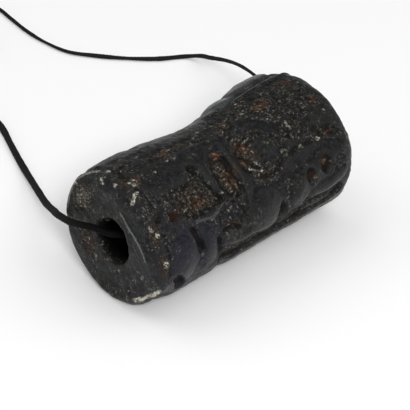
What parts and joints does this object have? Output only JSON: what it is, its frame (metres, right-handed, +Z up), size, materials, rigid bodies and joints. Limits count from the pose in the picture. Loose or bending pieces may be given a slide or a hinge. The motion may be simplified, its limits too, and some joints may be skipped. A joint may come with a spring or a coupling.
{
  "type": "cylinder seal",
  "caption": "Small worn carved stone cylinder seal, bored lengthways and strung on a loop of thin black thread.",
  "frame": {"origin": "on the surface that the seal lies on, under the middle of the seal", "axes": "+X along the seal's axis, towards the end where the thread's long strand leaves; +Z up; the thread runs away towards +Y"},
  "size_m": [0.0397, 0.0639, 0.0149],
  "materials": {
    "stone": "worn dark polished stone, near black, with brown earth in its hollows",
    "thread": "black twisted thread, slightly hairy"
  },
  "bodies": {
    "root": {"seal": "stone", "thread": "thread", "thread_coil": "thread", "thread_knot": "thread"}
  },
  "joints": []
}
